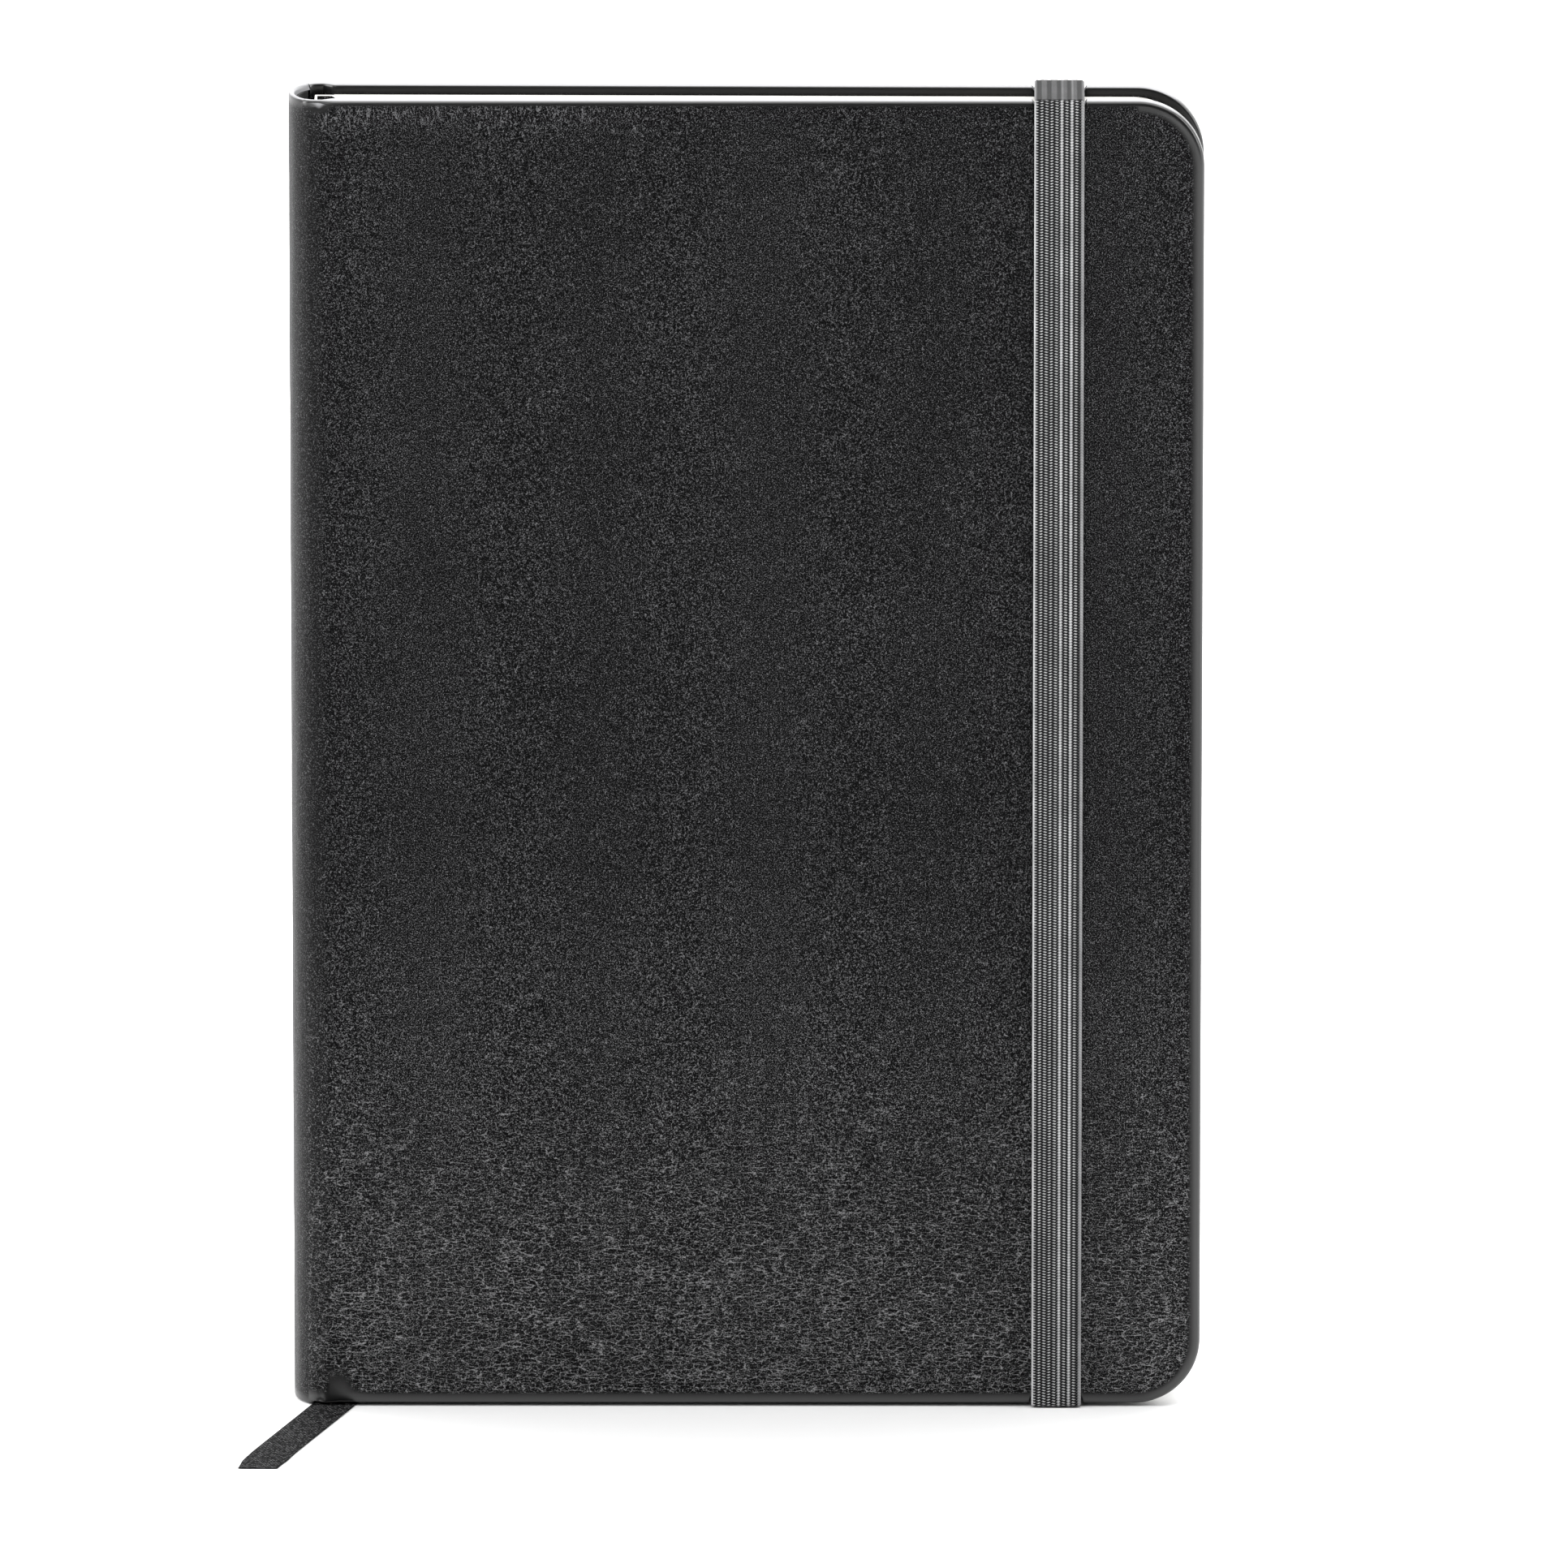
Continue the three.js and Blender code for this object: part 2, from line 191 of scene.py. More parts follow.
def sharpen_edges(obj, degrees):
    obj.data.set_sharp_from_angle(angle=math.radians(degrees))


# ---------- materials ----------

class Shade:
    """A material's node tree, with short calls to add to it."""

    def __init__(self, name, colour, roughness, **sockets):
        self.material = bpy.data.materials.new(name)
        self.material.use_nodes = True
        self.material.diffuse_color = (*colour, 1)
        self.tree = self.material.node_tree
        self.shader = self.tree.nodes["Principled BSDF"]
        self.shader.inputs["Base Color"].default_value = (*colour, 1)
        self.shader.inputs["Roughness"].default_value = roughness
        for label, value in sockets.items():
            self.shader.inputs[label.replace("_", " ")].default_value = value

    def node(self, kind, inputs=None, **settings):
        node = self.tree.nodes.new(kind)
        for key, value in settings.items():
            setattr(node, key, value)
        for key, value in (inputs or {}).items():
            self.put(node.inputs[key], value)
        return node

    def put(self, socket, value):
        if isinstance(value, bpy.types.NodeSocket):
            self.tree.links.new(value, socket)
        else:
            socket.default_value = value

    def math(self, operation, a, b=None):
        inputs = {0: a} if b is None else {0: a, 1: b}
        return self.node("ShaderNodeMath", inputs, operation=operation).outputs[0]

    def ramp(self, value, low, high, to_low=0.0, to_high=1.0):
        """value from low..high made to_low..to_high, with a smooth step."""
        inputs = {"Value": value, "From Min": low, "From Max": high, "To Min": to_low, "To Max": to_high}
        return self.node("ShaderNodeMapRange", inputs, interpolation_type="SMOOTHSTEP").outputs[0]

    def place(self, scale=(1, 1, 1), turn=(0, 0, 0)):
        """Object coordinates, scaled and turned."""
        coordinates = self.node("ShaderNodeTexCoord").outputs["Object"]
        inputs = {"Vector": coordinates, "Scale": scale, "Rotation": turn}
        return self.node("ShaderNodeMapping", inputs).outputs[0]

    def noise(self, vector, scale, detail=2.0, roughness=0.5, distortion=0.0):
        inputs = {
            "Vector": vector, "Scale": scale, "Detail": detail,
            "Roughness": roughness, "Distortion": distortion,
        }
        return self.node("ShaderNodeTexNoise", inputs).outputs[0]

    def attribute(self, name):
        return self.node("ShaderNodeAttribute", attribute_name=name).outputs["Fac"]

    def mix(self, factor, dark, light):
        node = self.node("ShaderNodeMix", data_type="RGBA")
        self.put(node.inputs["Factor"], factor)
        self.put(node.inputs["A"], dark if isinstance(dark, bpy.types.NodeSocket) else (*dark, 1))
        self.put(node.inputs["B"], light if isinstance(light, bpy.types.NodeSocket) else (*light, 1))
        return node.outputs["Result"]

    def ridges(self, vector, scale, width, detail=1.0, distortion=0.0):
        """Thin winding lines: 1 along them and 0 between."""
        value = self.noise(vector, scale, detail, 0.5, distortion)
        distance = self.math("ABSOLUTE", self.math("SUBTRACT", value, 0.5))
        return self.ramp(distance, 0.0, width, 1.0, 0.0)

    def crackle(self, scale, stretch, turn, width):
        """Broken net of thin lines, 1 along them and 0 between."""
        vector = self.place(stretch, (0, turn, 0))
        wander = self.node("ShaderNodeTexNoise", {"Vector": vector, "Scale": scale * 1.6, "Detail": 2.0})
        shift = self.node(
            "ShaderNodeVectorMath", {0: wander.outputs["Color"], "Scale": 0.55 / scale}, operation="SCALE")
        moved = self.node("ShaderNodeVectorMath", {0: vector, 1: shift.outputs[0]}, operation="ADD")
        cells = self.node(
            "ShaderNodeTexVoronoi", {"Vector": moved.outputs[0], "Scale": scale}, feature="DISTANCE_TO_EDGE")
        return self.ramp(cells.outputs["Distance"], 0.0, width, 1.0, 0.0)

    def colour(self, socket):
        self.put(self.shader.inputs["Base Color"], socket)

    def roughness(self, socket):
        self.put(self.shader.inputs["Roughness"], socket)

    def bump(self, height, distance, strength=1.0):
        inputs = {"Height": height, "Distance": distance, "Strength": strength}
        normal = self.node("ShaderNodeBump", inputs).outputs[0]
        self.put(self.shader.inputs["Normal"], normal)


def leatherette():
    """Black grained leatherette: short winding strokes, crackled near the tail, drawn into upright
    wrinkles under the head and smooth where it is pulled over an edge. Its colour holds painted light: a
    painted highlight on the raised grain, lighter near the tail for the light from the floor, and light
    grey, a painted highlight, where the grain is nearly 0, on the head edge, the spine's turned edges and
    the joint's dimple."""
    shade = Shade("leatherette", (0.006, 0.006, 0.0065), 0.4, Specular_IOR_Level=0.06)
    grain = shade.attribute("grain")
    creased_and_floor_lit = shade.attribute("creased_and_floor_lit")
    drawn = shade.attribute("drawn")
    even = shade.place()
    visible = shade.ramp(grain, 0.35, 1.0)
    worms = shade.ridges(even, 2400, 0.07, 0.3, 0.4)
    blobs = shade.ramp(shade.noise(even, 5200, 0.2), 0.49, 0.62)
    fine = shade.math("ADD", shade.math("MULTIPLY", worms, 0.5), shade.math("MULTIPLY", blobs, 0.5))
    patches = shade.ramp(shade.noise(even, 45, 2.0), 0.3, 0.7, 0.93, 1.0)
    fine = shade.math("MULTIPLY", fine, patches)
    fine = shade.math("MULTIPLY", fine, shade.ramp(creased_and_floor_lit, 0.0, 1.0, 1.0, 0.7))
    upright = shade.ridges(shade.place((1, 1, 0.3)), 1500, 0.06, 0.5, 0.6)
    large = shade.crackle(800, (0.3, 1, 1.4), 0.2, 0.05)
    small = shade.crackle(1500, (0.5, 1, 1.2), -0.15, 0.09)
    thin = shade.ramp(shade.noise(even, 260, 2.0), 0.38, 0.62, 0.45, 0.95)
    broken = shade.math("MULTIPLY", shade.math("MULTIPLY", large, thin), 0.62)
    lines = shade.math("ADD", broken, shade.math("MULTIPLY", small, 0.45))
    wrinkles = shade.math("MULTIPLY", upright, shade.math("MULTIPLY", drawn, 0.55))
    raised = shade.math("ADD", shade.math("MULTIPLY", lines, creased_and_floor_lit), wrinkles)
    height = shade.math("MULTIPLY", shade.math("ADD", fine, raised), visible)
    tone = shade.ramp(height, 0.18, 1.15)
    # painted highlight: where the grain is nearly 0 (the flat of the head edge, the spine's turned edges,
    # the joint's dimple) the ground is painted light grey
    ground_and_edge_highlight = shade.mix(shade.ramp(grain, 0.0, 0.3), (0.24, 0.24, 0.25), (0.0014, 0.0014, 0.0016))
    # painted highlight: the raised strokes are painted light, and lighter still near the tail for the light
    # from the floor
    painted_highlight_strokes = shade.mix(creased_and_floor_lit, (0.14, 0.14, 0.145), (0.27, 0.27, 0.275))
    shade.colour(shade.mix(tone, ground_and_edge_highlight, painted_highlight_strokes))
    shade.roughness(shade.ramp(grain, 0.2, 0.9, 0.28, 0.42))
    shade.put(shade.shader.inputs["Specular IOR Level"], shade.ramp(grain, 0.2, 0.95, 0.9, 0.04))
    shade.bump(height, 0.00005, 0.9)
    return shade.material


def paper(name, colour, shaded=False):
    """Uncoated paper. shaded takes its tone from the mesh's tone attribute."""
    shade = Shade(name, colour, 0.82, Specular_IOR_Level=0.25)
    even = shade.place()
    fibres = shade.noise(shade.place((1, 1, 0.35)), 1400, 3.0, 0.6, 0.6)
    cloud = shade.noise(even, 90, 3.0)
    darker = tuple(c * 0.98 for c in colour)
    tone = shade.mix(shade.ramp(cloud, 0.3, 0.7), darker, colour)
    if shaded:
        deep = tuple(c * 0.5 for c in colour)
        tone = shade.mix(shade.attribute("tone"), deep, tone)
    shade.colour(tone)
    shade.roughness(shade.ramp(fibres, 0.3, 0.7, 0.76, 0.88))
    shade.bump(fibres, 0.00003, 0.6)
    return shade.material


def board():
    """Grey pulp board, flecked."""
    shade = Shade("board", (0.33, 0.29, 0.24), 0.92, Specular_IOR_Level=0.2)
    even = shade.place()
    pulp = shade.noise(even, 700, 4.0, 0.65, 0.8)
    flecks = shade.ramp(shade.noise(even, 1500, 1.0), 0.66, 0.72)
    body = shade.mix(shade.ramp(pulp, 0.3, 0.7), (0.27, 0.235, 0.19), (0.37, 0.33, 0.275))
    shade.colour(shade.mix(flecks, body, (0.12, 0.1, 0.08)))
    shade.bump(pulp, 0.00008, 0.8)
    return shade.material


def painted_shade_card():
    """Thin card, faintly fibrous, painted black: painted shade for the dark hollow inside the spine."""
    shade = Shade("painted_shade_card", (0.02, 0.02, 0.02), 0.8, Specular_IOR_Level=0.25)
    fibres = shade.noise(shade.place((1, 1, 0.3)), 1500, 3.0, 0.6, 0.5)
    shade.colour(shade.mix(shade.ramp(fibres, 0.3, 0.7), (0.012, 0.012, 0.012), (0.03, 0.03, 0.03)))
    shade.bump(fibres, 0.00004, 0.7)
    return shade.material


def weave(name, dark, light, pitch, roughness, depth):
    """Threads that cross over and under each other, pitch apart."""
    shade = Shade(name, light, roughness, Specular_IOR_Level=0.3)
    coordinates = shade.node("ShaderNodeTexCoord").outputs["Object"]
    parts = shade.node("ShaderNodeSeparateXYZ", {"Vector": coordinates}).outputs
    turns = 2 * math.pi / pitch
    across = shade.math("SINE", shade.math("MULTIPLY", shade.math("ADD", parts["X"], parts["Y"]), turns))
    along = shade.math("SINE", shade.math("MULTIPLY", parts["Z"], turns))
    crossing = shade.ramp(shade.math("MULTIPLY", across, along), -0.8, 0.8)
    fuzz = shade.noise(coordinates, 0.4 / pitch, 3.0)
    height = shade.math("ADD", crossing, shade.math("MULTIPLY", fuzz, 0.5))
    shade.colour(shade.mix(shade.ramp(height, 0.2, 1.3), dark, light))
    shade.bump(height, depth, 0.8)
    return shade.material


def thread():
    """Waxed linen thread, twisted."""
    shade = Shade("thread", (0.82, 0.8, 0.75), 0.55, Specular_IOR_Level=0.4)
    coordinates = shade.node("ShaderNodeTexCoord").outputs["Object"]
    parts = shade.node("ShaderNodeSeparateXYZ", {"Vector": coordinates}).outputs
    twist = shade.math("SINE", shade.math("MULTIPLY", shade.math("ADD", parts["Y"], parts["Z"]), 14000))
    shade.colour(shade.mix(shade.ramp(twist, -1, 1), (0.6, 0.57, 0.5), (0.86, 0.84, 0.79)))
    shade.bump(twist, 0.00005, 0.8)
    return shade.material


def knitted_elastic():
    """Grey knitted elastic. The stitches are in the mesh, and their height is in its stitch attribute."""
    shade = Shade("elastic", (0.09, 0.09, 0.1), 0.62, Specular_IOR_Level=0.08, Sheen_Weight=0.05)
    stitch = shade.attribute("stitch")
    fuzz = shade.noise(shade.place(), 5200, 2.0, 0.6)
    patches = shade.ramp(shade.noise(shade.place(), 220, 2.0), 0.3, 0.7, 0.75, 1.0)
    # painted highlight and painted shade: the colour follows the stitches' height, light on the raised
    # stitches and near black in the gaps between them
    lit = shade.math("MULTIPLY", shade.ramp(stitch, 0.2, 1.0), patches)
    shade.colour(shade.mix(lit, (0.002, 0.002, 0.0025), (0.64, 0.64, 0.65)))
    shade.bump(shade.math("ADD", stitch, shade.math("MULTIPLY", fuzz, 0.35)), 0.00006, 0.7)
    return shade.material


def satin_ribbon():
    """Black woven ribbon. The twill is in the mesh, and its height is in its stitch attribute."""
    shade = Shade("ribbon", (0.004, 0.004, 0.0045), 0.75, Specular_IOR_Level=0.06)
    stitch = shade.attribute("stitch")
    fuzz = shade.noise(shade.place(), 4200, 2.0, 0.6)
    # painted highlights: light specks on the raised twill are painted glints
    glints = shade.ramp(shade.noise(shade.place(), 2500, 1.5), 0.4, 0.65)
    lit = shade.math("MULTIPLY", shade.ramp(stitch, 0.3, 0.95), glints)
    shade.colour(shade.mix(lit, (0.002, 0.002, 0.0023), (0.26, 0.26, 0.265)))
    shade.bump(shade.math("ADD", stitch, shade.math("MULTIPLY", fuzz, 0.5)), 0.00006, 0.8)
    return shade.material


def floor_material():
    """Pale floor, made a little brighter far from the book, where the lights don't reach."""
    shade = Shade("pale floor", (0.9, 0.9, 0.9), 0.55, Specular_IOR_Level=0.3, Emission_Color=(1, 1, 1, 1))
    coordinates = shade.node("ShaderNodeTexCoord").outputs["Object"]
    distance = shade.node("ShaderNodeVectorMath", {0: coordinates}, operation="LENGTH").outputs["Value"]
    shade.put(shade.shader.inputs["Emission Strength"], shade.ramp(distance, 0.6, 2.5, 0.0, 0.4))
    return shade.material


# ---------- camera, floor and lights ----------

def aim(obj, target):
    obj.rotation_euler = (Vector(target) - obj.location).to_track_quat("-Z", "Y").to_euler()


def make_camera():
    """A long lens about 13 degrees above the book, a little to the fore-edge side."""
    azimuth = math.radians(0.53)
    elevation = math.radians(12.98)
    distance = 3.67
    target = Vector((0.0059, 0, 0.0991))
    camera = bpy.data.objects.new("camera", bpy.data.cameras.new("camera"))
    bpy.context.scene.collection.objects.link(camera)
    camera.data.sensor_width = 36
    camera.data.lens = 536
    camera.data.clip_end = 50
    camera.location = target + distance * Vector((
        math.sin(azimuth) * math.cos(elevation),
        -math.cos(azimuth) * math.cos(elevation),
        math.sin(elevation),
    ))
    aim(camera, target)
    bpy.context.scene.camera = camera


def area_light(name, place, target, width, height, power):
    lamp = bpy.data.lights.new(name, "AREA")
    lamp.shape = "RECTANGLE"
    lamp.size = width
    lamp.size_y = height
    lamp.energy = power
    obj = bpy.data.objects.new(name, lamp)
    bpy.context.scene.collection.objects.link(obj)
    obj.location = place
    aim(obj, target)


def make_studio():
    """A pale floor, a room lit from behind the book, and four soft lights."""
    reach = 12000
    corners = [(-reach, -reach, 0), (reach, -reach, 0), (reach, reach, 0), (-reach, reach, 0)]
    floor = make_object("floor", corners, [(0, 1, 2, 3)], floor_material())
    world = bpy.data.worlds.new("studio")
    world.use_nodes = True
    tree = world.node_tree
    background = tree.nodes["Background"]
    direction = tree.nodes.new("ShaderNodeTexCoord").outputs["Generated"]
    parts = tree.nodes.new("ShaderNodeSeparateXYZ")
    tree.links.new(direction, parts.inputs[0])
    wall = tree.nodes.new("ShaderNodeMapRange")
    wall.interpolation_type = "SMOOTHSTEP"
    wall.inputs["From Min"].default_value = -0.2
    wall.inputs["From Max"].default_value = 0.6
    wall.inputs["To Min"].default_value = 0.05
    wall.inputs["To Max"].default_value = 2.0
    tree.links.new(parts.outputs["Y"], wall.inputs["Value"])
    # the camera sees an even white room
    seen = tree.nodes.new("ShaderNodeMix")
    tree.links.new(tree.nodes.new("ShaderNodeLightPath").outputs["Is Camera Ray"], seen.inputs["Factor"])
    tree.links.new(wall.outputs[0], seen.inputs["A"])
    seen.inputs["B"].default_value = 1.0
    tree.links.new(seen.outputs["Result"], background.inputs["Strength"])
    background.inputs["Color"].default_value = (1, 1, 1, 1)
    bpy.context.scene.world = world
    area_light("overhead", (0, 0.5, 2.6), (0, 0.3, 0), 4, 4, 162)
    area_light("left softbox", (-1.8, -0.4, 0.7), (0, 0, 0.1), 0.5, 1.4, 18)
    area_light("front softbox", (-0.9, -1.9, 1.5), (0, 0, 0.1), 0.8, 0.8, 8)
    area_light("right softbox", (1.7, -0.3, 0.9), (0, 0, 0.1), 0.4, 1.4, 16)
    bpy.context.scene.view_settings.view_transform = "Standard"


# ---------- the case ----------

SIZES = {}  # what size_of has found so far


def size_of(name):
    """(lowest corner, highest corner) of a CAD node in millimetres."""
    if name not in SIZES:
        SIZES[name] = tuple(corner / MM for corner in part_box(name))
    return SIZES[name]


def from_spine(u):
    return size_of("spine_leather")[0][0] + u


def face(u):
    """Distance of the case's outer face from the middle plane, u in from the outside of the spine."""
    reach = max(0.0, SPINE_DEPTH - u) / SPINE_DEPTH
    width = size_of("back_cover_leather")[1][0] - from_spine(JOINT_U)
    return HALF_THICKNESS * math.sqrt(max(0.0, 1 - reach * reach)) - max(0.0, u - JOINT_U) / width


FACE_TABLE = {}  # what face_at has found so far


def face_at(u):
    """face(u) and its inward normal (towards +u, towards the middle plane)."""
    key = round(u, 3)
    if key not in FACE_TABLE:
        step = 0.01
        rise = (face(u + step) - face(u - step)) / (2 * step)
        length = math.hypot(rise, 1)
        FACE_TABLE[key] = (face(u), rise / length, -1 / length)
    return FACE_TABLE[key]


def case_point(side, u, z, depth):
    """A point depth in from the case's outer face. side is -1 at the front and 1 at the back."""
    out, along, inward = face_at(u)
    return (from_spine(u) + along * depth, side * (out + inward * depth), z)


def edge_size(u):
    """Radius and thickness of the turned-in edge at u."""
    t = smooth(JOINT_U, BOARD_START, u)
    return SPINE_ROUND + (COVER_ROUND - SPINE_ROUND) * t, SPINE_EDGE + (COVER_EDGE - SPINE_EDGE) * t


def edge_path(u):
    """(outward, depth) of each ring of points that takes the skin over an edge and in under it."""
    radius, thick = edge_size(u)
    inner = min(0.5, thick - radius - 0.05)
    path = []
    for step in range(1, 6):
        angle = math.radians(18 * step)
        path.append((radius * math.sin(angle), radius * (1 - math.cos(angle))))
    path.append((radius, thick - inner))
    for step in range(1, 4):
        angle = math.radians(30 * step)
        path.append((radius - inner * (1 - math.cos(angle)), thick - inner + inner * math.sin(angle)))
    for inset in (2, 5, TURN_IN):
        path.append((radius - inset, thick))
    return path


def ring_grain_and_highlight(ring, below_head):
    """Smooth where the skin turns, painted light on the edge's flat face as a painted highlight, lightest
    along the head edge, and grained where it is turned in. below_head is 0 at the head and 1 a few
    millimetres below it."""
    first_light, first_inner, first_turned_in = 3, 7, 9
    if first_light <= ring < first_inner:
        return 0.25 * below_head
    return 0.95 if ring >= first_turned_in else EDGE_GRAIN


def crease_height(x, z, seed, amount):
    """Long low creases, level and slanted, in millimetres."""
    shift = Vector((seed, 0, 0))
    first = noise.noise(Vector((x * 0.085 + z * 0.02, 0, z * 0.26)) + shift)
    second = noise.noise(Vector((x * 0.13 - z * 0.09, 5, z * 0.19 + x * 0.05)) + shift)
    third = noise.noise(Vector((x * 0.3, 9, z * 0.42)) + shift)
    sharp = max((1 - abs(first)) ** 14, 0.8 * (1 - abs(second)) ** 16)
    return amount * (sharp + 0.35 * third)


def dent(u, elastic):
    """How far the elastic presses the cover's edge in at u: 1 under it, 0 beside it."""
    middle, half_width = elastic
    return 1 - smooth(half_width + 0.05, half_width + 0.4, abs(u - middle))


def column_step(u, elastic):
    """Spacing of the covers' surface points at u."""
    if u < BOARD_START:
        return JOINT_GRID
    middle, half_width = elastic
    beside = abs(abs(u - middle) - half_width - 0.2) < 0.8
    return DENT_GRID if beside else GRID


class Cover:
    """The face of one cover's leather. u runs from the outside of the spine to the fore-edge, z up, and
    side is -1 at the front and 1 at the back."""

    def __init__(self, name, side, seed):
        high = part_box(f"{name}_cover_leather")[1]
        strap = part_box("elastic_front")
        self.side = side
        self.seed = seed
        self.right = high[0] / MM - from_spine(0)
        self.head = high[2] / MM
        self.elastic = (
            (strap[0][0] + strap[1][0]) / 2 / MM - from_spine(0),
            (strap[1][0] - strap[0][0]) / 2 / MM,
        )
        self.head_dent = self.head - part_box("elastic_head_turn")[0][2] / MM + DENT_CLEARANCE
        self.tail_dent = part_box("elastic_tail_turn")[1][2] / MM - COVER_TAIL + DENT_CLEARANCE
        self.radius = CORNER - COVER_ROUND
        self.face_right = self.right - COVER_ROUND

    def columns(self):
        """u of each column of surface points."""
        us = [SPINE_END]
        while us[-1] < self.face_right - GRID:
            us.append(us[-1] + column_step(us[-1], self.elastic))
        us[-1] = self.face_right
        return us

    def limits(self, u):
        """z where the face begins to turn over the tail edge, and over the head edge."""
        edge = edge_size(u)[0]
        return COVER_TAIL * smooth(SPINE_END, SPINE_END + 0.8, u) + edge, self.head - edge

    def corner(self, u, z):
        """The middle of the nearest corner's rounding, or the point level with z above or below it."""
        bottom, top = self.limits(u)
        return self.face_right - self.radius, clamp(z, bottom + self.radius, top - self.radius)

    def warped(self, u, z):
        """Rounds the two fore-edge corners of the grid."""
        corner_u, middle = self.corner(u, z)
        a = (u - corner_u) / self.radius
        c = (z - middle) / self.radius
        if a <= 0 or c == 0:
            return u, z
        return (
            corner_u + self.radius * a * math.sqrt(1 - c * c / 2),
            middle + self.radius * c * math.sqrt(1 - a * a / 2),
        )

    def outward(self, u, z):
        """Direction out over the edge from a point on the border of the face."""
        corner_u, middle = self.corner(u, z)
        return Vector((u - min(u, corner_u), z - middle)).normalized()

    def pressed(self, u, z):
        """z with the elastic's dents in the head and tail edges."""
        amount = dent(u, self.elastic)
        z -= amount * self.head_dent * smooth(self.head - DENT_REACH, self.head - DENT_FULL, z)
        return z + amount * self.tail_dent * (1 - smooth(COVER_TAIL + DENT_FULL, COVER_TAIL + DENT_REACH, z))

    def nipped_and_highlit(self, u, z):
        """1 at the head of the joint, where the skin is drawn in and its leather painted light grey, a
        painted highlight, and 0 away from it.
        """
        return math.exp(-((u - NIP_U) / NIP_WIDTH) ** 2) * smooth(self.head - 2.4, self.head - 0.7, z)

    def flatness(self, u, z):
        """1 on the face, falling to 0 near its edges: nearer the edge at the head than elsewhere."""
        inside = min(z - COVER_TAIL, self.head - z, self.right - u)
        corner_u, middle = self.corner(u, z)
        if u > corner_u:
            inside = min(inside, CORNER - math.hypot(u - corner_u, z - middle))
        if self.head - z == inside:
            return smooth(0.5, 1.0, inside)
        return smooth(0.9, 2.4, inside)

    def fan(self, u, z):
        """1 where the skin is pulled smooth over the ribbon's exit, and 0 away from it."""
        away = z + max(0.0, u - RIBBON_U) * 1.3
        return (1 - smooth(1.0, 8.5, away)) * smooth(5.2, 6.0, u)

    def height(self, u, z):
        """Height of the face at (u, z) over the plain one."""
        amount = 0.006 + 0.04 * crease_and_floor_light(z)
        creases = crease_height(u, z, self.seed, amount) * self.flatness(u, z) * (1 - self.fan(u, z))
        joint = math.exp(-((u - GROOVE_U) / GROOVE_WIDTH) ** 2)
        ripple = 0.07 * noise.noise(Vector((u * 2.2, self.seed, z * 0.16))) + 0.16
        return creases - joint * ripple - NIP * self.nipped_and_highlit(u, z)

    def grain(self, u, z):
        """How strongly the face is grained at (u, z), 0 to 1. It is 0 at the joint's dimple, which paints
        the leather there light grey, a painted highlight.
        """
        near_spine = 0.72 + 0.28 * smooth(3, 9, u)
        rough = self.flatness(u, z) * near_spine * (1 - self.fan(u, z))
        return (EDGE_GRAIN + (1 - EDGE_GRAIN) * rough) * (1 - self.nipped_and_highlit(u, z))

    def drawn(self, u, z):
        """1 under the head, where the skin is drawn into upright wrinkles, more so near the spine."""
        return smooth(self.head - 7, self.head - 2, z) * smooth(3, 6, u) * (1 - smooth(40, 70, u))


def crease_and_floor_light(z):
    """1 near the tail, where the covers have creases and their strokes are painted lighter for the light
    from the floor, and 0 high up.
    """
    return 1 - smooth(8, 98, z)


def make_cover_skin(name, side, leather, seed):
    """A cover's leather, from the spine's skin over the joint and the board, turned in round its edges."""
    cover = Cover(name, side, seed)
    us = cover.columns()
    rows = round((cover.head - COVER_TAIL) / GRID)
    points = []
    flat = []
    marks = {"grain": [], "creased_and_floor_lit": [], "drawn": []}

    def add(u, z, depth, grain, creased_and_floor_lit, drawn):
        points.append(case_point(side, u, cover.pressed(u, z), depth))
        marks["grain"].append(grain)
        marks["creased_and_floor_lit"].append(creased_and_floor_lit)
        marks["drawn"].append(drawn)

    for column in us:
        bottom, top = cover.limits(column)
        for j in range(rows + 1):
            u, z = cover.warped(column, bottom + (top - bottom) * j / rows)
            flat.append((u, z))
            add(u, z, -cover.height(u, z), cover.grain(u, z), crease_and_floor_light(z), cover.drawn(u, z))

    def at(i, j):
        return i * (rows + 1) + j

    faces = []
    last = len(us) - 1
    for i in range(last):
        for j in range(rows):
            faces.append((at(i, j), at(i + 1, j), at(i + 1, j + 1), at(i, j + 1)))

    border = [at(i, 0) for i in range(last + 1)]
    border += [at(last, j) for j in range(1, rows + 1)]
    border += [at(i, rows) for i in range(last - 1, -1, -1)]
    previous = border
    for ring in range(len(edge_path(BOARD_START))):
        current = []
        for index in border:
            flat_u, flat_z = flat[index]
            out, depth = edge_path(flat_u)[ring]
            direction = cover.outward(flat_u, flat_z)
            u = flat_u + direction[0] * out
            z = flat_z + direction[1] * out
            current.append(len(points))
            below_head = 1 - smooth(cover.head - 3, cover.head - 1, z)
            grain = ring_grain_and_highlight(ring, below_head)
            add(u, z, depth + NIP * cover.nipped_and_highlit(u, z), grain, marks["creased_and_floor_lit"][index], 0.0)
        for k in range(len(border) - 1):
            faces.append((previous[k], current[k], current[k + 1], previous[k + 1]))
        previous = current

    if side > 0:
        faces = [tuple(reversed(f)) for f in faces]
    obj = make_object(f"{name}_case", points, faces, leather, marks)
    thicken(obj, SKIN)
    sharpen_edges(obj, SHARP)
    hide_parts(f"{name}_cover_leather", f"{name}_joint_leather")
    board_edge = (from_spine(6.7) * MM, side * HALF_THICKNESS * MM, 0)
    block_edge = (from_spine(3.2) * MM, side * HALF_THICKNESS * MM, 0)
    if side < 0:
        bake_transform(obj)
    else:
        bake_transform(obj)


